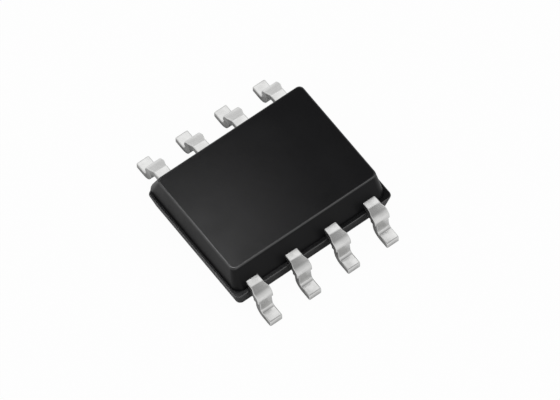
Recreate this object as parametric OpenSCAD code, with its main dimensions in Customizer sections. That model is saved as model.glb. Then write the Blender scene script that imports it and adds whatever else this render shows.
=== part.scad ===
// Eight-lead small-outline chip (SOIC, gull-wing leads), millimetres.
// The leads stand on z = 0. X runs along the lead rows, Y across them.
// The moulding is cut away exactly where the lead frame, die and wires sit in it.

/* [Lead rows] */
// Distance between neighbouring leads
pitch = 1.27; // [1.1:0.01:1.4]
// Width of a lead
lead_w = 0.4; // [0.31:0.01:0.5]
// Thickness of the lead frame sheet
sheet_t = 0.21; // [0.17:0.01:0.25]
// Height of the lead's underside where it leaves the moulding (the parting plane)
parting_z = 0.7; // [0.6:0.01:0.8]

/* [Gull wing] */
// Level stretch of the lead outside the upper half, before its first bend
level_l = 0.1; // [0.06:0.01:0.14]
// Slope of the shoulder after the first bend, in degrees
slope = 14; // [8:1:20]
// Radius over the top of the first bend
first_r = 0.26; // [0.25:0.01:0.32]
// Sloping stretch of the shoulder between its two bends
ramp_l = 0.16; // [0.1:0.01:0.2]
// Radius over the top of the shoulder bend
shoulder_r = 0.26; // [0.25:0.01:0.32]
// Lean of the riser away from upright, in degrees
riser_lean = 7; // [4:1:14]
// Radius in the crook of the foot bend
foot_r = 0.11; // [0.06:0.01:0.14]
// Flat length of the foot, from its bend to the tip
foot_l = 0.31; // [0.2:0.01:0.45]
// Width over the stubs left by the cut dam bar
stub_w = 0.49; // [0.42:0.01:0.6]
// Distance from the first bend to where the stubs start
stub_gap = 0.06; // [0.04:0.01:0.08]
// Height at which the stubs end on the riser
stub_z = 0.56; // [0.46:0.01:0.6]

/* [Moulding] */
// Length of the moulding over its rim
body_l = 5.1; // [4.8:0.01:5.4]
// Width of each half of the moulding at the parting plane
body_w = 3.96; // [3.8:0.01:4.1]
// Height of the top face above the board
body_top = 1.48; // [1.4:0.01:1.75]
// Gap between the moulding and the board
standoff = 0.14; // [0.1:0.01:0.25]
// Width of the ledge between the rim and the upper half, at the ends
ledge_end = 0.09; // [0.04:0.01:0.14]
// How far the upper half leans in over its height, at the ends
lean_end = 0.095; // [0.05:0.005:0.2]
// How far the upper half leans in over its height, along the lead rows
lean_side = 0.29; // [0.1:0.01:0.4]
// How far the lower half leans in, at the ends
base_lean_end = 0.12; // [0.05:0.005:0.2]
// How far the lower half leans in, along the lead rows
base_lean_side = 0.075; // [0.05:0.005:0.2]
// Offset of the lower mould half from the upper one, towards leads 1 to 4
half_shift = 0.12; // [0.08:0.01:0.13]
// Corner radius of the top face, seen from above
top_corner_r = 0.145; // [0.08:0.005:0.3]
// Corner radius at the foot of the upper half
foot_corner_r = 0.25; // [0.15:0.01:0.4]
// Corner radius of the rim and the lower half
rim_corner_r = 0.15; // [0.1:0.01:0.4]
// Rounding of the top edges
edge_r = 0.045; // [0.02:0.005:0.07]
// Bevel on the edge of the rim
rim_bevel = 0.03; // [0.01:0.005:0.05]

/* [Inside] */
// Depth at which the lead fingers are keyed, from the foot of the upper half
key_depth = 0.36; // [0.32:0.01:0.42]
// Length of the locking key of a finger
key_l = 0.18; // [0.1:0.01:0.2]
// Width of the locking key of a finger
key_w = 0.56; // [0.52:0.01:0.65]
// Distance of the finger tips from the middle
finger_y = 1.17; // [1.1:0.01:1.25]
// Length of the die pad
pad_l = 2.4; // [2.2:0.05:2.6]
// Width of the die pad
pad_w = 1.9; // [1.7:0.05:2]
// How far the die pad is set below the leads
downset = 0.2; // [0.1:0.01:0.25]
// Width of the two tie bars of the pad
tie_w = 0.3; // [0.2:0.01:0.4]
// Cover of moulding over the ends of the tie bars
tie_cover = 0.12; // [0.08:0.01:0.2]
// Length of the die
die_l = 1.8; // [1.6:0.05:2]
// Width of the die
die_w = 1.4; // [1.3:0.05:1.6]
// Thickness of the die
die_t = 0.28; // [0.2:0.01:0.3]
// Thickness of the die attach film
attach_t = 0.025; // [0.02:0.005:0.04]
// How far the die attach film shows round the die
attach_rim = 0.05; // [0.02:0.01:0.08]
// Radius of the bond wires
wire_r = 0.025; // [0.015:0.005:0.03]
// Height of the ball of a bond wire
ball_h = 0.03; // [0.02:0.005:0.04]
// Radius of the ball of a bond wire
ball_r = 0.055; // [0.045:0.005:0.07]
// Radius of the loop of a bond wire
loop_r = 0.12; // [0.08:0.01:0.15]
// Straight neck of a bond wire over its ball
neck_h = 0.05; // [0.03:0.01:0.08]
// Distance of the balls from the edge of the die
ball_inset = 0.12; // [0.1:0.01:0.2]

/* [Hidden] */

leads_per_row = 4;
arc_steps = 14;
slab_t = 0.002;
lap = 0.004;

// The gull wing, in its own plane: y outward from the middle, z up
lead_top = parting_z + sheet_t;
turn = 90 - riser_lean;
level_y = body_w / 2 + level_l;
first = [level_y, lead_top - first_r];
bend = first + (first_r - shoulder_r) * [sin(slope), cos(slope)] + ramp_l * [cos(slope), -sin(slope)];
riser_y = bend.x + shoulder_r * sin(turn);
riser_z = bend.y + shoulder_r * cos(turn);
foot_z = sheet_t + foot_r;
riser_l = (riser_z + foot_r * cos(turn) - foot_z) / sin(turn);
foot_y = riser_y + riser_l * cos(turn) + foot_r * sin(turn);
tip_y = foot_y + foot_l;
root_y = body_w / 2 - key_depth;

// The moulding's sizes at its levels
upper_l = body_l - 2 * ledge_end;
top_l = upper_l - 2 * lean_end;
top_w = body_w - 2 * lean_side;
base_l = body_l - 2 * base_lean_end;
base_w = body_w - 2 * base_lean_side;

// The stack in the middle
pad_z = parting_z - downset;
pad_top = pad_z + sheet_t;
die_z = pad_top + attach_t;
die_top = die_z + die_t;
tie_end = upper_l / 2 - tie_cover;
ball_pitch = (die_l - 2 * ball_inset) / (leads_per_row - 1) * 0.8;
finger_pull = 0.2;

// Points along an arc round the point c, from angle a0 to angle a1
function arc(c, r, a0, a1) =
    [for (i = [0:arc_steps]) c + r * [cos(a0 + (a1 - a0) * i / arc_steps), sin(a0 + (a1 - a0) * i / arc_steps)]];

// Place of lead i on X: leads 1 to 4 from left to right in front, 5 to 8 back again behind
function column(i) = i <= leads_per_row ? i : 2 * leads_per_row + 1 - i;
function lead_x(i) = (column(i) - (leads_per_row + 1) / 2) * pitch;
function row_sign(i) = i <= leads_per_row ? -1 : 1;

// A level slab with rounded corners, its top at z
module slab(l, w, r, z, shift = 0) {
    for (sx = [-1, 1], sy = [-1, 1])
        translate([sx * (l / 2 - r), sy * (w / 2 - r) - shift, z - slab_t])
            cylinder(h = slab_t, r = r, $fn = 32);
}

// Upper mould half: leaning walls, edges rounded over to the top face
module upper_half() {
    hull() {
        slab(upper_l, body_w, foot_corner_r, parting_z + slab_t);
        for (a = [0, 22.5, 45, 67.5, 90]) {
            inset = edge_r * (1 - cos(a));
            slab(top_l - 2 * inset, top_w - 2 * inset, top_corner_r, body_top - edge_r * (1 - sin(a)));
        }
    }
}

// Lower mould half: rim with its bevel, then walls that lean in to the base
module lower_half() {
    hull() {
        slab(body_l - 2 * rim_bevel, body_w - 2 * rim_bevel, rim_corner_r - rim_bevel, parting_z, half_shift);
        slab(body_l, body_w, rim_corner_r, parting_z - rim_bevel, half_shift);
        slab(base_l, base_w, rim_corner_r, standoff + edge_r + slab_t, half_shift);
        slab(base_l - 2 * edge_r, base_w - 2 * edge_r, rim_corner_r - edge_r, standoff + slab_t, half_shift);
    }
}

// Side view of a lead from its root in the moulding to its tip on the board
module gull_outline() {
    polygon(concat(
        [[root_y, lead_top]],
        arc(first, first_r, 90, 90 - slope),
        arc(bend, shoulder_r, 90 - slope, 90 - turn),
        arc([foot_y, foot_z], foot_r, 270 - turn, 270),
        [[tip_y, sheet_t], [tip_y, 0]],
        arc([foot_y, foot_z], foot_r + sheet_t, 270, 270 - turn),
        arc(bend, shoulder_r - sheet_t, 90 - turn, 90 - slope),
        arc(first, first_r - sheet_t, 90 - slope, 90),
        [[root_y, parting_z]]));
}

// The part of the side view that keeps the stubs of the dam bar
module stub_window() {
    translate([level_y + stub_gap, stub_z])
        square([tip_y, body_top]);
}

// Stands a (y, z) outline up and gives it a width along X
module across(width) {
    rotate([90, 0, 90])
        linear_extrude(height = width, center = true)
            children();
}

// Flat finger inside the moulding: a locking key, then an arm drawn towards the die
module finger(pull) {
    half = lead_w / 2;
    key_y = root_y - key_l;
    translate([0, 0, parting_z])
        linear_extrude(height = sheet_t)
            polygon([[-key_w / 2, root_y], [key_w / 2, root_y], [key_w / 2, key_y], [half, key_y],
                     [pull + half, finger_y], [pull - half, finger_y], [-half, key_y], [-key_w / 2, key_y]]);
}

// One lead, on the side where y is positive
module lead_form(pull) {
    across(lead_w)
        gull_outline();
    across(stub_w)
        intersection() {
            gull_outline();
            stub_window();
        }
    finger(pull);
}

module lead(i) {
    side = row_sign(i);
    color("silver")
        translate([lead_x(i), 0, 0])
            rotate([0, 0, side > 0 ? 0 : 180])
                lead_form(-side * finger_pull * lead_x(i));
}

// Pad that carries the die, with a stepped tie bar at each end
module die_pad() {
    step = downset * 1.1;
    bar = [[pad_l / 2 - 0.05, pad_z], [pad_l / 2 + 0.15, pad_z], [pad_l / 2 + 0.15 + step, parting_z],
           [tie_end, parting_z], [tie_end, lead_top], [pad_l / 2 + 0.1 + step, lead_top],
           [pad_l / 2 + 0.1, pad_top], [pad_l / 2 - 0.05, pad_top]];
    color("rosybrown") {
        translate([-pad_l / 2, -pad_w / 2, pad_z])
            cube([pad_l, pad_w, sheet_t]);
        for (turn_z = [0, 180])
            rotate([90, 0, turn_z])
                linear_extrude(height = tie_w, center = true)
                    polygon(bar);
    }
}

module die_attach() {
    color("gainsboro")
        translate([-die_l / 2 - attach_rim, -die_w / 2 - attach_rim, pad_top])
            cube([die_l + 2 * attach_rim, die_w + 2 * attach_rim, attach_t]);
}

module die() {
    color("slategray")
        translate([-die_l / 2, -die_w / 2, die_z])
            cube([die_l, die_w, die_t]);
}

// A bond wire in its own plane: ball at the origin on the die, stitch on a finger at distance reach
module wire_form(reach) {
    arch_z = ball_h + neck_h;
    stitch_z = lead_top - die_top + wire_r;
    far = norm([reach - loop_r, arch_z - stitch_z]);
    drop = atan2(arch_z - stitch_z, reach - loop_r) + asin(loop_r / far);
    cylinder(h = ball_h, r = ball_r, $fn = 24);
    cylinder(h = arch_z + lap, r = wire_r, $fn = 8);
    translate([loop_r, 0, arch_z])
        rotate([90, 0, 0])
            rotate([0, 0, 90 - drop])
                rotate_extrude(angle = 90 + drop, $fn = 48)
                    translate([loop_r, 0])
                        circle(r = wire_r, $fn = 8);
    translate([loop_r * (1 + sin(drop)), 0, arch_z + loop_r * cos(drop)])
        rotate([0, 90 + drop, 0])
            translate([0, 0, -lap])
                cylinder(h = sqrt(far * far - loop_r * loop_r) + lap, r = wire_r, $fn = 8);
    translate([reach - 0.06, -1.8 * wire_r, lead_top - die_top])
        cube([0.13, 3.6 * wire_r, 1.4 * wire_r]);
}

module bond_wire(i) {
    side = row_sign(i);
    start = [(column(i) - (leads_per_row + 1) / 2) * ball_pitch, side * (die_w / 2 - ball_inset)];
    finish = [lead_x(i) * (1 - finger_pull), side * (finger_y + 0.1)];
    run = finish - start;
    color("gold")
        translate([start.x, start.y, die_top])
            rotate([0, 0, atan2(run.y, run.x)])
                wire_form(norm(run));
}

// Everything that is moulded in
module inlay() {
    die_pad();
    die_attach();
    die();
    for (i = [1:2 * leads_per_row]) {
        lead(i);
        bond_wire(i);
    }
}

module mould_body() {
    color([0.13, 0.13, 0.14])
        difference() {
            union() {
                upper_half();
                lower_half();
            }
            inlay();
        }
}

mould_body();
die_pad();
die_attach();
die();
for (i = [1:2 * leads_per_row]) {
    lead(i);
    bond_wire(i);
}
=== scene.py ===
"""Looks of an eight-lead small-outline chip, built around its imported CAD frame.

Every length that is a dataclass field is in millimetres and is turned to metres where a mesh, lamp or camera is
made. X runs along the lead rows, Y across them, and the feet stand on z = 0.
"""

import logging
import math
from dataclasses import dataclass, field
from enum import Enum, IntEnum
from typing import Any

import bmesh
import bpy
from mathutils import Matrix, Vector

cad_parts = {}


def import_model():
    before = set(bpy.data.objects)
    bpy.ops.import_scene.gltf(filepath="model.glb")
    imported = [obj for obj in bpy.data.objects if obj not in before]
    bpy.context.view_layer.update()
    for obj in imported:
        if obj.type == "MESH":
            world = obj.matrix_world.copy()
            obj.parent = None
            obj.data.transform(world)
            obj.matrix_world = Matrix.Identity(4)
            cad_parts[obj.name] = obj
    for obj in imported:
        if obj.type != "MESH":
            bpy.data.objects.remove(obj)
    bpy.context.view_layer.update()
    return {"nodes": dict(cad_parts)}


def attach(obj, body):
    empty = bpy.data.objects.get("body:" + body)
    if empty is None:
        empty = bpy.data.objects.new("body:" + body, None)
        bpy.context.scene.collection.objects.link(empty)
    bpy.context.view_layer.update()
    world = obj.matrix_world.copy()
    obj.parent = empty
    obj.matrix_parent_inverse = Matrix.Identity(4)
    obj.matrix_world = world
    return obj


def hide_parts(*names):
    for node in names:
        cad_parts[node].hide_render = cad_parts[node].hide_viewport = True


log = logging.getLogger("soic_chip")

MM = 0.001
UM = 1e-6
ROW = 4
LEADS = 2 * ROW
SMOOTH_LIMIT = math.radians(34)
FLAT_FACE_WEIGHT = 100
# A face that looks this far along X is one of a lead's sheared sides
SIDE_FACING = 0.9
# Nearly all of a noise pattern's values lie between these
NOISE_LOW, NOISE_HIGH = 0.3, 0.7

Point = tuple[float, float]
Colour = tuple[float, float, float, float]


def linear(hex_code: str) -> Colour:
    """Turn an sRGB hex colour to the linear colour that shaders take.

    Args:
        hex_code: Six hex digits after a hash, such as "#c8c7c3".

    Returns:
        Red, green, blue and an alpha of 1.
    """
    parts = [int(hex_code[i : i + 2], 16) / 255 for i in (1, 3, 5)]
    r, g, b = (c / 12.92 if c <= 0.04045 else ((c + 0.055) / 1.055) ** 2.4 for c in parts)
    return (r, g, b, 1.0)


def add_node(
    tree: bpy.types.NodeTree, kind: str, inputs: dict[Any, Any] | None = None, **settings: Any
) -> bpy.types.Node:
    """Add one node to a tree, with its settings, values and links.

    Args:
        tree: The node tree that gets the node.
        kind: The name of the node's type.
        inputs: For each input, by name or number, either the output it is linked from or its value.
        **settings: The node's own properties.

    Returns:
        The new node.
    """
    node = tree.nodes.new(kind)
    for name, value in settings.items():
        setattr(node, name, value)
    for key, value in (inputs or {}).items():
        if isinstance(value, bpy.types.NodeSocket):
            tree.links.new(value, node.inputs[key])
        else:
            node.inputs[key].default_value = value
    return node


def ramp(
    tree: bpy.types.NodeTree, source: bpy.types.NodeSocket, stops: list[tuple[float, Colour]]
) -> bpy.types.NodeSocket:
    """Lay a colour ramp over a value.

    Args:
        tree: The node tree that gets the ramp.
        source: The output that drives it.
        stops: Places on the ramp, from 0 to 1, and their colours.

    Returns:
        The ramp's colour output.
    """
    node = add_node(tree, "ShaderNodeValToRGB", {"Fac": source})
    elements = node.color_ramp.elements
    while len(elements) < len(stops):
        elements.new(1.0)
    for element, (place, colour) in zip(elements, stops):
        element.position = place
        element.color = colour
    return node.outputs["Color"]


def grey(level: float) -> Colour:
    """A neutral linear colour of one level."""
    return (level, level, level, 1.0)


class Finish:
    """A surface finish: what all the finishes share when their materials are built."""

    def start(self, name: str) -> tuple[bpy.types.Material, bpy.types.NodeTree, bpy.types.NodeSocket]:
        """Begin a node material whose patterns are laid out in millimetres.

        Args:
            name: The material's name.

        Returns:
            The material, its node tree, and the output that gives a point's place in millimetres.
        """
        material = bpy.data.materials.new(name)
        material.use_nodes = True
        tree = material.node_tree
        tree.nodes.clear()
        place = add_node(tree, "ShaderNodeTexCoord")
        scaled = add_node(
            tree, "ShaderNodeVectorMath", {0: place.outputs["Object"], 1: (1 / MM,) * 3}, operation="MULTIPLY"
        )
        return material, tree, scaled.outputs["Vector"]

    def close(self, tree: bpy.types.NodeTree, inputs: dict[Any, Any]) -> None:
        """Put the surface shader and the output on a tree.

        Args:
            tree: The node tree to finish.
            inputs: The surface shader's values and links.
        """
        shader = add_node(tree, "ShaderNodeBsdfPrincipled", inputs)
        add_node(tree, "ShaderNodeOutputMaterial", {"Surface": shader.outputs["BSDF"]})

    def bump(self, tree: bpy.types.NodeTree, height: Any, depth_um: float, normal: Any = None) -> Any:
        """Raise a surface by a height pattern.

        Args:
            tree: The node tree.
            height: The output that gives the height from 0 to 1.
            depth_um: What a height of 1 stands for, in micrometres.
            normal: A normal to build on, or None for the surface's own.

        Returns:
            The bent normal.
        """
        inputs = {"Height": height, "Strength": 1.0, "Distance": depth_um * UM}
        if normal is not None:
            inputs["Normal"] = normal
        return add_node(tree, "ShaderNodeBump", inputs).outputs["Normal"]


@dataclass(frozen=True)
class MouldedEpoxy(Finish):
    """Silica-filled black epoxy, transfer moulded in a spark-eroded die: near-black with a dull, even sheen.

    Carbon black drinks the light, so nearly all that the eye gets is the soft sheen off the fine-pitted skin, with
    filler grains a shade lighter in it.
    """

    skin: str = "#070708"
    filler: str = "#0f0f10"
    pit_mm: float = 0.045
    pit_depth_um: float = 1.6
    cloud_mm: float = 0.9
    grain_mm: float = 0.03
    grain_reach: float = 0.22
    roughness: float = 0.33
    roughness_swing: float = 0.04
    specular: float = 0.1
    name: str = "black_epoxy_moulded"

    def material(self) -> bpy.types.Material:
        """Build the moulding's material."""
        made, tree, place = self.start(self.name)
        # Pits of the spark-eroded die are about 0.03 mm apart, and drawn at 0.045 mm so that they show
        pits = add_node(
            tree, "ShaderNodeTexNoise", {"Vector": place, "Scale": 1 / self.pit_mm, "Detail": 3.0, "Roughness": 0.6}
        ).outputs["Fac"]
        # The filler gathers in clouds near a millimetre across, which swing the sheen
        cloud = add_node(
            tree, "ShaderNodeTexNoise", {"Vector": place, "Scale": 1 / self.cloud_mm, "Detail": 4.0}
        ).outputs["Fac"]
        # Filler grains are 0.02 to 0.05 mm across
        grains = add_node(
            tree, "ShaderNodeTexVoronoi", {"Vector": place, "Scale": 1 / self.grain_mm, "Randomness": 1.0}
        ).outputs["Distance"]
        speck = ramp(tree, grains, [(0.0, grey(1.0)), (self.grain_reach, grey(0.0))])
        shade = add_node(
            tree,
            "ShaderNodeMix",
            {"Factor": speck, "A": linear(self.skin), "B": linear(self.filler)},
            data_type="RGBA",
        ).outputs[2]
        swing = add_node(
            tree,
            "ShaderNodeMapRange",
            {
                "Value": cloud,
                "From Min": NOISE_LOW,
                "From Max": NOISE_HIGH,
                "To Min": self.roughness - self.roughness_swing,
                "To Max": self.roughness + self.roughness_swing,
            },
        ).outputs["Result"]
        self.close(
            tree,
            {
                "Base Color": shade,
                "Roughness": swing,
                "Specular IOR Level": self.specular,
                "Normal": self.bump(tree, pits, self.pit_depth_um),
            },
        )
        return made


@dataclass(frozen=True)
class RubbedEpoxy(MouldedEpoxy):
    """The moulding's rounded edges, rubbed smooth by deflashing and handling: the same epoxy with a glossier skin.

    The eye gets a thin pale line along each edge that faces the light.
    """

    pit_depth_um: float = 0.8
    roughness: float = 0.3
    roughness_swing: float = 0.03
    specular: float = 0.5
    name: str = "black_epoxy_rubbed"


@dataclass(frozen=True)
class MatteTin(Finish):
    """Electroplated matte tin on copper alloy sheet, bent after plating: a satin grey metal.

    The fine tin grains blur every reflection, slow clouds in the plating swing its shine, and the forming die
    leaves faint wipe marks along the strip.
    """

    bright: str = "#d9d9d8"
    dull: str = "#cfcfce"
    grain_mm: float = 0.035
    grain_depth_um: float = 0.5
    wipe_mm: float = 0.05
    wipe_stretch: float = 0.12
    wipe_depth_um: float = 0.5
    cloud_mm: float = 0.25
    roughness_low: float = 0.2
    roughness_high: float = 0.27
    name: str = "matte_tin_plated"

    def material(self) -> bpy.types.Material:
        """Build the plated leads' material."""
        made, tree, place = self.start(self.name)
        # Tin grains are 0.003 to 0.008 mm across, and drawn at 0.035 mm so that they show
        grains = add_node(
            tree, "ShaderNodeTexNoise", {"Vector": place, "Scale": 1 / self.grain_mm, "Detail": 3.0}
        ).outputs["Fac"]
        cloud = add_node(
            tree, "ShaderNodeTexNoise", {"Vector": place, "Scale": 1 / self.cloud_mm, "Detail": 3.0}
        ).outputs["Fac"]
        # Wipe marks of the forming die run along the lead: fine across X, long across Y and Z
        stretched = add_node(
            tree,
            "ShaderNodeVectorMath",
            {0: place, 1: (1.0, self.wipe_stretch, self.wipe_stretch)},
            operation="MULTIPLY",
        ).outputs["Vector"]
        wipe = add_node(
            tree, "ShaderNodeTexNoise", {"Vector": stretched, "Scale": 1 / self.wipe_mm, "Detail": 2.0}
        ).outputs["Fac"]
        tint = ramp(tree, cloud, [(0.35, linear(self.dull)), (0.65, linear(self.bright))])
        rough = add_node(
            tree,
            "ShaderNodeMapRange",
            {
                "Value": cloud,
                "From Min": NOISE_LOW,
                "From Max": NOISE_HIGH,
                "To Min": self.roughness_high,
                "To Max": self.roughness_low,
            },
        ).outputs["Result"]
        rolled = self.bump(tree, wipe, self.wipe_depth_um)
        self.close(
            tree,
            {
                "Base Color": tint,
                "Metallic": 1.0,
                "Roughness": rough,
                "Normal": self.bump(tree, grains, self.grain_depth_um, rolled),
            },
        )
        return made


@dataclass(frozen=True)
class ShearedTinPaintedShade(MatteTin):
    """The leads' sheared sides, plated like the rest: torn by the blanking die, so rougher; their darker colour is
    painted shade, for the shade that the sides stand in.

    The deeper grain of the tear takes the crispness out of every reflection.
    """

    # These darker greys are painted shade on the lead sides, not a colour of the tin
    bright: str = "#a8a8a7"
    dull: str = "#8e8e8d"
    grain_depth_um: float = 2.0
    wipe_depth_um: float = 2.0
    roughness_low: float = 0.34
    roughness_high: float = 0.46
    name: str = "matte_tin_sheared_painted_shade"


@dataclass(frozen=True)
class RolledCopper(Finish):
    """Bare copper alloy strip as rolled: warm metal with fine lines along the strip."""

    colour: str = "#c98f6b"
    stained: str = "#a9714f"
    line_mm: float = 0.03
    line_stretch: float = 0.08
    line_depth_um: float = 0.8
    stain_mm: float = 0.4
    roughness: float = 0.35

    def material(self) -> bpy.types.Material:
        """Build the bare lead frame's material."""
        made, tree, place = self.start("copper_alloy_rolled")
        stretched = add_node(
            tree, "ShaderNodeVectorMath", {0: place, 1: (self.line_stretch, 1.0, 1.0)}, operation="MULTIPLY"
        ).outputs["Vector"]
        # Rolling lines are 0.005 to 0.01 mm apart, and drawn at 0.03 mm so that they show
        lines = add_node(
            tree, "ShaderNodeTexNoise", {"Vector": stretched, "Scale": 1 / self.line_mm, "Detail": 3.0}
        ).outputs["Fac"]
        stain = add_node(
            tree, "ShaderNodeTexNoise", {"Vector": place, "Scale": 1 / self.stain_mm, "Detail": 4.0}
        ).outputs["Fac"]
        tint = ramp(tree, stain, [(0.35, linear(self.stained)), (0.6, linear(self.colour))])
        self.close(
            tree,
            {
                "Base Color": tint,
                "Metallic": 1.0,
                "Roughness": self.roughness,
                "Normal": self.bump(tree, lines, self.line_depth_um),
            },
        )
        return made


@dataclass(frozen=True)
class SilverEpoxy(Finish):
    """Silver-flake die attach paste, dispensed and cured: dull pale grey with flakes that catch light."""

    paste: str = "#a8a7a2"
    flake: str = "#dcdbd6"
    flake_mm: float = 0.02
    flake_depth_um: float = 3.0
    metallic: float = 0.6
    roughness: float = 0.55

    def material(self) -> bpy.types.Material:
        """Build the die attach film's material."""
        made, tree, place = self.start("silver_epoxy_cured")
        # Silver flakes are 0.005 to 0.02 mm across, and drawn at the large end so that they show
        flakes = add_node(
            tree, "ShaderNodeTexVoronoi", {"Vector": place, "Scale": 1 / self.flake_mm}
        ).outputs["Distance"]
        tint = ramp(tree, flakes, [(0.1, linear(self.flake)), (0.5, linear(self.paste))])
        self.close(
            tree,
            {
                "Base Color": tint,
                "Metallic": self.metallic,
                "Roughness": self.roughness,
                "Normal": self.bump(tree, flakes, self.flake_depth_um),
            },
        )
        return made


@dataclass(frozen=True)
class PassivatedSilicon(Finish):
    """Silicon die under its passivation glass: a dark blue-grey mirror with faint rows of wiring."""

    silicon: str = "#3a4150"
    wiring: str = "#5d6675"
    row_mm: float = 0.06
    haze_per_mm: float = 3.0
    metallic: float = 0.7
    roughness_low: float = 0.08
    roughness_high: float = 0.2

    def material(self) -> bpy.types.Material:
        """Build the die's material."""
        made, tree, place = self.start("silicon_polished")
        # Rows of wiring are a few micrometres apart, and drawn at 0.06 mm so that they show
        rows = add_node(
            tree,
            "ShaderNodeTexBrick",
            {
                "Vector": place,
                "Scale": 1 / self.row_mm,
                "Color1": linear(self.silicon),
                "Color2": linear(self.wiring),
                "Mortar": linear(self.silicon),
            },
        ).outputs["Color"]
        haze = add_node(
            tree, "ShaderNodeTexNoise", {"Vector": place, "Scale": self.haze_per_mm, "Detail": 2.0}
        ).outputs["Fac"]
        rough = add_node(
            tree,
            "ShaderNodeMapRange",
            {"Value": haze, "To Min": self.roughness_low, "To Max": self.roughness_high},
        ).outputs["Result"]
        self.close(tree, {"Base Color": rows, "Metallic": self.metallic, "Roughness": rough})
        return made


@dataclass(frozen=True)
class DrawnGold(Finish):
    """Gold wire drawn through a die and bonded: bright yellow metal with faint drawing marks."""

    gold: str = "#e8bd62"
    shade: str = "#cf9c45"
    line_mm: float = 0.01
    line_depth_um: float = 0.3
    roughness: float = 0.22

    def material(self) -> bpy.types.Material:
        """Build the bond wires' material."""
        made, tree, place = self.start("gold_wire_drawn")
        # Drawing marks are about 0.001 mm wide, and drawn at 0.01 mm so that they show
        lines = add_node(
            tree, "ShaderNodeTexNoise", {"Vector": place, "Scale": 1 / self.line_mm, "Detail": 2.0}
        ).outputs["Fac"]
        tint = ramp(tree, lines, [(0.3, linear(self.shade)), (0.6, linear(self.gold))])
        self.close(
            tree,
            {
                "Base Color": tint,
                "Metallic": 1.0,
                "Roughness": self.roughness,
                "Normal": self.bump(tree, lines, self.line_depth_um),
            },
        )
        return made


class Slot(Enum):
    """The record's material slots, and two more finishes for parts of a piece: sheared sides, darkened by painted
    shade, and rubbed edges.
    """

    MOULD = "mould_epoxy"
    TIN = "tin_plating"
    COPPER = "bare_copper_alloy"
    SILVER = "silver_epoxy"
    SILICON = "silicon"
    GOLD = "gold_wire"
    SHEARED_PAINTED_SHADE = "tin_plating_sheared"
    RUBBED = "mould_epoxy_rubbed"


FINISHES: dict[Slot, Any] = {
    Slot.MOULD: MouldedEpoxy(),
    Slot.TIN: MatteTin(),
    Slot.COPPER: RolledCopper(),
    Slot.SILVER: SilverEpoxy(),
    Slot.SILICON: PassivatedSilicon(),
    Slot.GOLD: DrawnGold(),
    Slot.SHEARED_PAINTED_SHADE: ShearedTinPaintedShade(),
    Slot.RUBBED: RubbedEpoxy(),
}


@dataclass
class Paint:
    """The materials, each built once and then shared."""

    made: dict[Slot, bpy.types.Material] = field(default_factory=dict)

    def of(self, slot: Slot) -> bpy.types.Material:
        """Give the material for a slot.

        Args:
            slot: The finish wanted.

        Returns:
            Its material, built on the first call.
        """
        if slot not in self.made:
            self.made[slot] = FINISHES[slot].material()
        return self.made[slot]


def make_piece(name: str, mesh: bmesh.types.BMesh, materials: list[bpy.types.Material]) -> bpy.types.Object:
    """Turn a mesh laid out in millimetres into a smooth-shaded piece in metres.

    Args:
        name: The piece's name.
        mesh: The mesh, which is used up.
        materials: Its materials, in the order of the faces' material numbers.

    Returns:
        The piece, linked to the scene.
    """
    bmesh.ops.scale(mesh, vec=(MM, MM, MM), verts=mesh.verts)
    bmesh.ops.recalc_face_normals(mesh, faces=mesh.faces)
    data = bpy.data.meshes.new(name)
    mesh.to_mesh(data)
    mesh.free()
    data.shade_smooth()
    data.set_sharp_from_angle(angle=SMOOTH_LIMIT)
    for material in materials:
        data.materials.append(material)
    piece = bpy.data.objects.new(name, data)
    bpy.context.scene.collection.objects.link(piece)
    flat = piece.modifiers.new("flat_faces_stay_flat", "WEIGHTED_NORMAL")
    flat.keep_sharp = True
    flat.weight = FLAT_FACE_WEIGHT
    return piece


def loft(
    mesh: bmesh.types.BMesh, rings: list[list[Vector]], material: int, bands: dict[int, int] | None = None
) -> None:
    """Skin a stack of closed rings that have the same number of points, and cap both ends.

    Args:
        mesh: The mesh that gets the skin.
        rings: The rings, in order.
        material: The material number of the new faces.
        bands: Other material numbers, each by the place of the ring that its band of skin starts from.
    """
    made = [[mesh.verts.new(p) for p in ring] for ring in rings]
    faces = [mesh.faces.new(made[0]), mesh.faces.new(list(reversed(made[-1])))]
    for face in faces:
        face.material_index = material
    count = len(made[0])
    for level, (low, high) in enumerate(zip(made, made[1:])):
        for i in range(count):
            j = (i + 1) % count
            face = mesh.faces.new((low[i], high[i], high[j], low[j]))
            face.material_index = (bands or {}).get(level, material)


class MouldSkin(IntEnum):
    """The material numbers on the moulding's mesh."""

    PLAIN = 0
    RUBBED = 1


class StripSkin(IntEnum):
    """The material numbers on a lead's mesh."""

    PLATED = 0
    BARE = 1
    SHEARED_PAINTED_SHADE = 2


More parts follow.
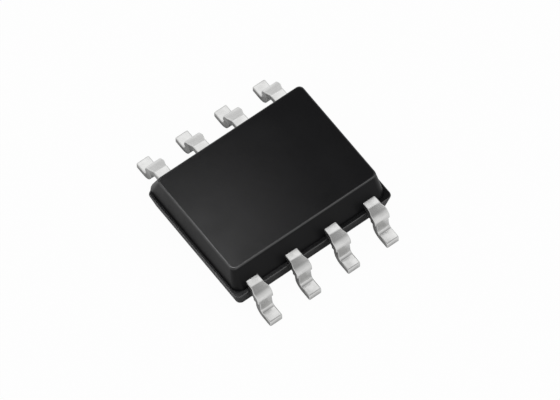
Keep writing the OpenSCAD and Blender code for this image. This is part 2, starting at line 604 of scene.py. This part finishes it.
@dataclass
class MouldBody:
    """The black moulding: two halves that meet at the rim, shaped by the two halves of the mould."""

    length: float = 5.1
    width: float = 3.96
    top_z: float = 1.48
    base_z: float = 0.14
    parting_z: float = 0.7
    ledge_end: float = 0.09
    lean_end: float = 0.095
    lean_side: float = 0.29
    base_lean_end: float = 0.12
    base_lean_side: float = 0.075
    half_shift: float = 0.12
    top_corner_r: float = 0.145
    foot_corner_r: float = 0.25
    rim_corner_r: float = 0.15
    edge_r: float = 0.045
    rim_bevel: float = 0.03
    corner_steps: int = 12
    edge_steps: int = 6

    def ring(self, length: float, width: float, radius: float, z: float, shift: float = 0.0) -> list[Vector]:
        """A level rectangle with rounded corners.

        Args:
            length: Its length along X.
            width: Its width along Y.
            radius: Its corner radius.
            z: Its height.
            shift: How far it is moved towards the row of leads 1 to 4.

        Returns:
            Its points, in order.
        """
        points = []
        for quarter in range(4):
            sx, sy = ((1, 1), (-1, 1), (-1, -1), (1, -1))[quarter]
            cx, cy = sx * (length / 2 - radius), sy * (width / 2 - radius) - shift
            for step in range(self.corner_steps + 1):
                angle = math.radians(90 * (quarter + step / self.corner_steps))
                points.append(Vector((cx + radius * math.cos(angle), cy + radius * math.sin(angle), z)))
        return points

    def base_rings(self) -> list[list[Vector]]:
        """The lower half, from its rounded base edge up to the rim's bevel."""
        base_l = self.length - 2 * self.base_lean_end
        base_w = self.width - 2 * self.base_lean_side
        rings = []
        for step in range(self.edge_steps + 1):
            angle = math.radians(90 * step / self.edge_steps)
            inset = self.edge_r * (1 - math.sin(angle))
            z = self.base_z + self.edge_r * (1 - math.cos(angle))
            rings.append(
                self.ring(base_l - 2 * inset, base_w - 2 * inset, self.rim_corner_r - inset, z, self.half_shift)
            )
        for step in range(self.edge_steps + 1):
            angle = math.radians(90 * step / self.edge_steps)
            inset = self.rim_bevel * (1 - math.cos(angle))
            z = self.parting_z - self.rim_bevel * (1 - math.sin(angle))
            rings.append(
                self.ring(
                    self.length - 2 * inset, self.width - 2 * inset, self.rim_corner_r - inset, z, self.half_shift
                )
            )
        return rings

    def top_rings(self) -> list[list[Vector]]:
        """The upper half, from its foot on the ledge up over its rounded top edge."""
        foot_l = self.length - 2 * self.ledge_end
        top_l = foot_l - 2 * self.lean_end
        top_w = self.width - 2 * self.lean_side
        rings = [self.ring(foot_l, self.width, self.foot_corner_r, self.parting_z)]
        for step in range(self.edge_steps + 1):
            angle = math.radians(90 * step / self.edge_steps)
            inset = self.edge_r * (1 - math.cos(angle))
            z = self.top_z - self.edge_r * (1 - math.sin(angle))
            rings.append(self.ring(top_l - 2 * inset, top_w - 2 * inset, self.top_corner_r, z))
        return rings

    def build(self, paint: Paint) -> bpy.types.Object:
        """Build the moulding and put it in the place of its solid.

        Args:
            paint: The materials.

        Returns:
            The moulding.
        """
        mesh = bmesh.new()
        base, top = self.base_rings(), self.top_rings()
        rim_starts, top_edge_starts = self.edge_steps + 1, len(base) + 1
        rubbed = [start + step for start in (rim_starts, top_edge_starts) for step in range(self.edge_steps)]
        loft(mesh, base + top, MouldSkin.PLAIN, {level: MouldSkin.RUBBED for level in rubbed})
        body = make_piece("moulding", mesh, [paint.of(Slot.MOULD), paint.of(Slot.RUBBED)])
        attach(body, "root")
        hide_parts("mould_body")
        log.info("moulding: two halves, rim and rounded edges, %d faces", len(body.data.polygons))
        return body


@dataclass
class GullWingLead:
    """One lead: a strip of sheet with two bends and a foot.

    It leaves the moulding level, slopes off, turns down over its shoulder into the riser, and ends flat on the
    board.
    """

    number: int
    pitch: float = 1.27
    wall_y: float = 1.98
    sheet: float = 0.21
    underside_z: float = 0.7
    width: float = 0.4
    level: float = 0.1
    slope: float = 14.0
    first_r: float = 0.26
    ramp: float = 0.16
    shoulder_r: float = 0.26
    riser_lean: float = 7.0
    foot_r: float = 0.11
    foot: float = 0.31
    stub_width: float = 0.49
    stub_gap: float = 0.06
    stub_z: float = 0.56
    stub_ease: float = 0.03
    key_depth: float = 0.36
    key_length: float = 0.18
    key_width: float = 0.56
    finger_y: float = 1.17
    finger_pull: float = 0.2
    edge_top_r: float = 0.034
    edge_under_r: float = 0.014
    tip_r: float = 0.045
    tip_turn: float = 75.0
    first_steps: int = 6
    arc_steps: int = 20
    edge_steps: int = 4

    def __post_init__(self) -> None:
        """Work out the bends from the sizes."""
        self.turn = math.radians(90 - self.riser_lean)
        self.fall = math.radians(self.slope)
        self.level_y = self.wall_y + self.level
        self.first = (self.level_y, self.underside_z + self.sheet - self.first_r)
        across = (math.sin(self.fall), math.cos(self.fall))
        inward = self.first_r - self.shoulder_r
        self.bend = (
            self.first[0] + inward * across[0] + self.ramp * across[1],
            self.first[1] + inward * across[1] - self.ramp * across[0],
        )
        riser_y = self.bend[0] + self.shoulder_r * math.sin(self.turn)
        riser_z = self.bend[1] + self.shoulder_r * math.cos(self.turn)
        heel_z = self.sheet + self.foot_r
        drop = (riser_z + self.foot_r * math.cos(self.turn) - heel_z) / math.sin(self.turn)
        self.heel = (riser_y + drop * math.cos(self.turn) + self.foot_r * math.sin(self.turn), heel_z)
        self.tip_y = self.heel[0] + self.foot
        self.root_y = self.wall_y - self.key_depth

    def bend_stations(self, centre: Point, radius: float, start: float, end: float, steps: int) -> list[Any]:
        """The middle line round a bend that arches over the strip's upper side.

        Args:
            centre: The bend's centre as (y, z).
            radius: The radius of the strip's upper side there.
            start: The turn already made at its start, in radians from level.
            end: The turn at its end.
            steps: How many pieces it is cut into.

        Returns:
            For each station its (y, z) and the direction (y, z) of the strip's upper side.
        """
        made = []
        for step in range(steps + 1):
            angle = math.pi / 2 - start - (end - start) * step / steps
            out = (math.cos(angle), math.sin(angle))
            r = radius - self.sheet / 2
            made.append(((centre[0] + r * out[0], centre[1] + r * out[1]), out))
        return made

    def path(self) -> list[tuple[Point, Point, float, float]]:
        """The middle line of the strip, from the moulding to the tip.

        Returns:
            For each station its (y, z), the direction (y, z) of the strip's upper side, the strip's width, and how
            far its section is drawn in at the tip's rolled edge.
        """
        half = self.sheet / 2
        stub_y = self.level_y + self.stub_gap
        line = [((self.root_y, self.underside_z + half), (0.0, 1.0))]
        line += self.bend_stations(self.first, self.first_r, 0.0, self.fall, self.first_steps)
        line += self.bend_stations(self.bend, self.shoulder_r, self.fall, self.turn, self.arc_steps)
        slide = (line[-1][0][1] - self.stub_z) / math.sin(self.turn)
        line.append(((line[-1][0][0] + slide * math.cos(self.turn), self.stub_z), line[-1][1]))
        stations: list[tuple[Point, Point, float]] = []
        for place, out in line:
            if place[0] >= stub_y and stations[-1][2] == self.width:
                last = stations[-1][0]
                share = (stub_y - last[0]) / (place[0] - last[0])
                start = (stub_y, last[1] + share * (place[1] - last[1]))
                stations.append((start, stations[-1][1], self.width))
            reached = (place[0] - stub_y) / self.stub_ease
            flare = min(max(reached, 0.0), 1.0) * (self.stub_width - self.width)
            stations.append((place, out, self.width + flare))
        stations.append((*line[-1], self.width))
        for step in range(self.arc_steps + 1):
            angle = math.radians(270) - self.turn * (1 - step / self.arc_steps)
            ray = (math.cos(angle), math.sin(angle))
            r = self.foot_r + half
            up = (-ray[0], -ray[1])
            stations.append(((self.heel[0] + r * ray[0], self.heel[1] + r * ray[1]), up, self.width))
        shaped = [(place, out, width, 0.0) for place, out, width in stations]
        for step in range(self.edge_steps + 1):
            angle = math.radians(self.tip_turn * step / self.edge_steps)
            y = self.tip_y - self.tip_r * (math.sin(math.radians(self.tip_turn)) - math.sin(angle))
            shaped.append(((y, half), (0.0, 1.0), self.width, self.tip_r * (1 - math.cos(angle))))
        return shaped

    def section(self, width: float, inset: float) -> list[Point]:
        """The strip's cross-section: a flat oblong, its edges rolled over by the blanking die.

        Args:
            width: The strip's width there.
            inset: How far it is drawn in from above and from the sides.

        Returns:
            Points (across, up) round the middle of the section.
        """
        points = []
        edges = (
            (1, 1, self.edge_top_r),
            (-1, 1, self.edge_top_r),
            (-1, -1, self.edge_under_r),
            (1, -1, self.edge_under_r),
        )
        for quarter, (sx, sy, radius) in enumerate(edges):
            cx, cy = sx * (width / 2 - radius - inset / 2), sy * (self.sheet / 2 - radius)
            if sy > 0:
                cy -= inset
            for step in range(self.edge_steps + 1):
                angle = math.radians(90 * (quarter + step / self.edge_steps))
                points.append((cx + radius * math.cos(angle), cy + radius * math.sin(angle)))
        return points

    def finger(self, mesh: bmesh.types.BMesh, pull: float) -> None:
        """Add the flat finger inside the moulding: a locking key, then an arm drawn towards the die.

        Args:
            mesh: The mesh that gets it.
            pull: How far the finger's tip is drawn aside.
        """
        half, key = self.width / 2, self.key_width / 2
        key_y = self.root_y - self.key_length
        plan = [
            (-key, self.root_y),
            (key, self.root_y),
            (key, key_y),
            (half, key_y),
            (pull + half, self.finger_y),
            (pull - half, self.finger_y),
            (-half, key_y),
            (-key, key_y),
        ]
        levels = (self.underside_z, self.underside_z + self.sheet)
        loft(mesh, [[Vector((x, y, z)) for x, y in plan] for z in levels], StripSkin.BARE)

    def build(self, paint: Paint) -> bpy.types.Object:
        """Build the lead and put it in the place of its solid.

        Args:
            paint: The materials.

        Returns:
            The lead.
        """
        node = f"lead_{self.number}"
        side = -1 if self.number <= ROW else 1
        mesh = bmesh.new()
        rings = [
            [Vector((x, y + up * out[0], z + up * out[1])) for x, up in self.section(width, inset)]
            for (y, z), out, width, inset in self.path()
        ]
        loft(mesh, rings, StripSkin.PLATED)
        for face in mesh.faces:
            face.normal_update()
            # Faces that look along X are the sheared sides, which get the tin darkened by painted shade
            if abs(face.normal.x) > SIDE_FACING:
                face.material_index = StripSkin.SHEARED_PAINTED_SHADE
        lead_x = self.column() * self.pitch
        self.finger(mesh, -side * self.finger_pull * lead_x)
        place = Matrix.Translation((lead_x, 0, 0)) @ Matrix.Rotation(0 if side > 0 else math.pi, 4, "Z")
        bmesh.ops.transform(mesh, matrix=place, verts=mesh.verts)
        finishes = [paint.of(Slot.TIN), paint.of(Slot.COPPER), paint.of(Slot.SHEARED_PAINTED_SHADE)]
        lead = make_piece(f"gull_wing_{self.number}", mesh, finishes)
        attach(lead, "root")
        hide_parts(node)
        log.info("gull_wing_%d: strip with rolled edges and dam bar stubs", self.number)
        return lead

    def column(self) -> float:
        """The lead's place along its row, in pitches from the middle."""
        column = self.number if self.number <= ROW else LEADS + 1 - self.number
        return column - (ROW + 1) / 2


@dataclass
class InnerParts:
    """What is sealed in the moulding: the pad, the attach film, the die and the bond wires."""

    slots: dict[str, Slot] = field(
        default_factory=lambda: {
            "die_pad": Slot.COPPER,
            "die_attach": Slot.SILVER,
            "die": Slot.SILICON,
            **{f"bond_wire_{i}": Slot.GOLD for i in range(1, LEADS + 1)},
        }
    )

    def dress(self, nodes: dict[str, bpy.types.Object], paint: Paint) -> None:
        """Give each inner solid its finish.

        Args:
            nodes: The solids by name.
            paint: The materials.
        """
        for name, slot in self.slots.items():
            data = nodes[name].data
            if not data.materials:
                data.materials.append(paint.of(slot))
            for place in range(len(data.materials)):
                data.materials[place] = paint.of(slot)
            log.info("%s: dressed in %s", name, slot.value)


class Reach(Enum):
    """What a lamp lights, with the state that the moulding then has in its list of receivers."""

    MOULDING_ONLY = "INCLUDE"
    ALL_BUT_MOULDING = "EXCLUDE"


@dataclass
class Softbox:
    """One soft lamp of the studio. Its radiance is that of its own face, where 1 is white."""

    name: str
    place: tuple[float, float, float]
    aim: tuple[float, float, float]
    size: tuple[float, float]
    radiance: float
    reach: Reach

    def build(self, moulding: bpy.types.Object) -> bpy.types.Object:
        """Hang the lamp and aim it.

        Args:
            moulding: The piece that the lamp lights alone or passes over.

        Returns:
            The lamp.
        """
        data = bpy.data.lights.new(self.name, "AREA")
        data.shape = "RECTANGLE"
        data.size, data.size_y = self.size[0] * MM, self.size[1] * MM
        data.energy = self.radiance * math.pi * data.size * data.size_y
        lamp = bpy.data.objects.new(self.name, data)
        bpy.context.scene.collection.objects.link(lamp)
        lamp.location = Vector(self.place) * MM
        lamp.rotation_euler = (Vector(self.place) - Vector(self.aim)).to_track_quat("Z", "Y").to_euler()
        lamp.visible_camera = False
        receivers = bpy.data.collections.new(f"{self.name}_receivers")
        receivers.objects.link(moulding)
        receivers.collection_objects[0].light_linking.link_state = self.reach.value
        lamp.light_linking.receiver_collection = receivers
        log.info("%s: radiance %.2f", self.name, self.radiance)
        return lamp


@dataclass
class Studio:
    """A plain pale floor under soft light, with a white surround."""

    floor_size: float = 2400.0
    floor_squares: int = 8
    floor_colour: str = "#cfcfcf"
    floor_lift: float = 0.97
    shade_reach: float = 4.0
    shade_depth: float = 3.0
    shade_samples: int = 8
    ambient: float = 0.75
    sky: tuple[tuple[float, float], ...] = ((0.5, 0.95), (0.8, 0.8), (0.93, 0.5), (0.98, 0.36))
    lamps: tuple[Softbox, ...] = (
        Softbox("key_softbox", (20.0, 62.0, 130.0), (0.0, 0.0, 1.0), (200.0, 90.0), 0.7, Reach.ALL_BUT_MOULDING),
        Softbox("top_sheen", (-1.1, 2.1, 12.1), (-2.6, -0.9, 1.5), (4.5, 7.0), 8.9, Reach.MOULDING_ONLY),
        Softbox("front_edge_panel", (35.0, -85.0, 100.0), (0.0, 0.0, 1.0), (150.0, 80.0), 2.6, Reach.MOULDING_ONLY),
        Softbox("left_edge_panel", (-95.0, 50.0, 85.0), (0.0, 0.0, 1.0), (110.0, 80.0), 2.6, Reach.MOULDING_ONLY),
    )

    def seen(self, tree: bpy.types.NodeTree) -> tuple[Any, Any]:
        """The shares, 1 or 0, of rays that see the background.

        Args:
            tree: The node tree that asks.

        Returns:
            The share for the camera's own rays, and the share for rays in a reflection or through glass.
        """
        path = add_node(tree, "ShaderNodeLightPath").outputs
        either = add_node(
            tree, "ShaderNodeMath", {0: path["Is Glossy Ray"], 1: path["Is Transmission Ray"]}, operation="MAXIMUM"
        )
        return path["Is Camera Ray"], either.outputs[0]

    def lay_floor(self) -> bpy.types.Object:
        """Lay the floor: pale matte paper, lifted towards white where it is seen, with the object's shadow kept."""
        mesh = bmesh.new()
        squares = self.floor_squares
        bmesh.ops.create_grid(mesh, x_segments=squares, y_segments=squares, size=self.floor_size / 2 * MM)
        data = bpy.data.meshes.new("floor")
        mesh.to_mesh(data)
        mesh.free()
        floor = bpy.data.objects.new("floor", data)
        bpy.context.scene.collection.objects.link(floor)
        material = bpy.data.materials.new("paper_matte")
        material.use_nodes = True
        tree = material.node_tree
        tree.nodes.clear()
        paper = add_node(tree, "ShaderNodeBsdfDiffuse", {"Color": linear(self.floor_colour)}).outputs[0]
        white = add_node(tree, "ShaderNodeEmission", {"Color": grey(1.0), "Strength": 1.0}).outputs[0]
        straight, mirrored = self.seen(tree)
        # Reflections keep the shade close round the object: there the floor is lifted only where it is open
        opening = add_node(
            tree, "ShaderNodeAmbientOcclusion", {"Distance": self.shade_reach * MM}, samples=self.shade_samples
        )
        opened = add_node(
            tree, "ShaderNodeMath", {0: opening.outputs["AO"], 1: self.shade_depth}, operation="POWER"
        ).outputs[0]
        open_share = add_node(tree, "ShaderNodeMath", {0: mirrored, 1: opened}, operation="MULTIPLY").outputs[0]
        either = add_node(tree, "ShaderNodeMath", {0: straight, 1: open_share}, operation="MAXIMUM").outputs[0]
        share = add_node(tree, "ShaderNodeMath", {0: either, 1: self.floor_lift}, operation="MULTIPLY").outputs[0]
        mixed = add_node(tree, "ShaderNodeMixShader", {0: share, 1: paper, 2: white}).outputs[0]
        add_node(tree, "ShaderNodeOutputMaterial", {"Surface": mixed})
        data.materials.append(material)
        return floor

    def set_world(self) -> None:
        """Surround the set: white walls and a greyer ceiling where it is seen, an even soft light otherwise."""
        world = bpy.data.worlds.new("studio")
        bpy.context.scene.world = world
        world.use_nodes = True
        tree = world.node_tree
        tree.nodes.clear()
        way = add_node(tree, "ShaderNodeTexCoord").outputs["Generated"]
        height = add_node(tree, "ShaderNodeSeparateXYZ", {0: way}).outputs["Z"]
        raised = add_node(tree, "ShaderNodeMath", {0: height, 1: 0.5, 2: 0.5}, operation="MULTIPLY_ADD").outputs[0]
        walls = ramp(tree, raised, [(place, grey(level)) for place, level in self.sky])
        seen = add_node(tree, "ShaderNodeBackground", {"Color": walls, "Strength": 1.0}).outputs[0]
        soft = add_node(tree, "ShaderNodeBackground", {"Color": grey(self.ambient), "Strength": 1.0}).outputs[0]
        either = add_node(
            tree, "ShaderNodeMath", dict(enumerate(self.seen(tree))), operation="MAXIMUM"
        ).outputs[0]
        mixed = add_node(tree, "ShaderNodeMixShader", {0: either, 1: soft, 2: seen}).outputs[0]
        add_node(tree, "ShaderNodeOutputWorld", {"Surface": mixed})

    def build(self, moulding: bpy.types.Object) -> None:
        """Build the floor, the surround and the lamps.

        Args:
            moulding: The piece that some lamps light alone and others pass over.
        """
        self.lay_floor()
        self.set_world()
        for lamp in self.lamps:
            lamp.build(moulding)
        log.info("studio: floor, surround and %d soft lamps", len(self.lamps))


@dataclass
class Viewpoint:
    """Where the camera stands: its direction from the object, its distance and its framing."""

    azimuth: float = -35.839
    elevation: float = 62.123
    roll: float = -1.043
    distance: float = 188.8
    focus: tuple[float, float, float] = (0.0, 0.0, 0.8)
    right: float = 0.338
    up: float = -0.284
    lens: float = 463.7
    sensor: float = 36.0
    nearest: float = 1.0
    farthest: float = 10000.0

    def build(self) -> bpy.types.Object:
        """Create the scene's camera."""
        a, e, r = (math.radians(x) for x in (self.azimuth, self.elevation, self.roll))
        back = Vector((math.sin(a) * math.cos(e), -math.cos(a) * math.cos(e), math.sin(e)))
        level = Vector((math.cos(a), math.sin(a), 0.0))
        rise = back.cross(level)
        x_axis = math.cos(r) * level + math.sin(r) * rise
        y_axis = -math.sin(r) * level + math.cos(r) * rise
        target = Vector(self.focus) + x_axis * self.right + y_axis * self.up
        data = bpy.data.cameras.new("camera")
        data.lens = self.lens
        data.sensor_fit = "HORIZONTAL"
        data.sensor_width = self.sensor
        data.clip_start = self.nearest * MM
        data.clip_end = self.farthest * MM
        camera = bpy.data.objects.new("camera", data)
        bpy.context.scene.collection.objects.link(camera)
        turned = Matrix((x_axis, y_axis, back)).transposed().to_4x4()
        camera.matrix_world = Matrix.Translation((target + back * self.distance) * MM) @ turned
        bpy.context.scene.camera = camera
        log.info("camera: %.1f degrees up, %.1f mm away", self.elevation, self.distance)
        return camera


def main() -> None:
    """Build the chip's looks, the studio and the camera around the frame."""
    logging.basicConfig(level=logging.INFO, format="%(name)s: %(message)s")
    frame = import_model()
    bpy.context.scene.view_settings.view_transform = "Standard"
    Viewpoint().build()
    paint = Paint()
    Studio().build(MouldBody().build(paint))
    for number in range(1, LEADS + 1):
        GullWingLead(number).build(paint)
    InnerParts().dress(frame["nodes"], paint)


if __name__ == "__main__":
    main()
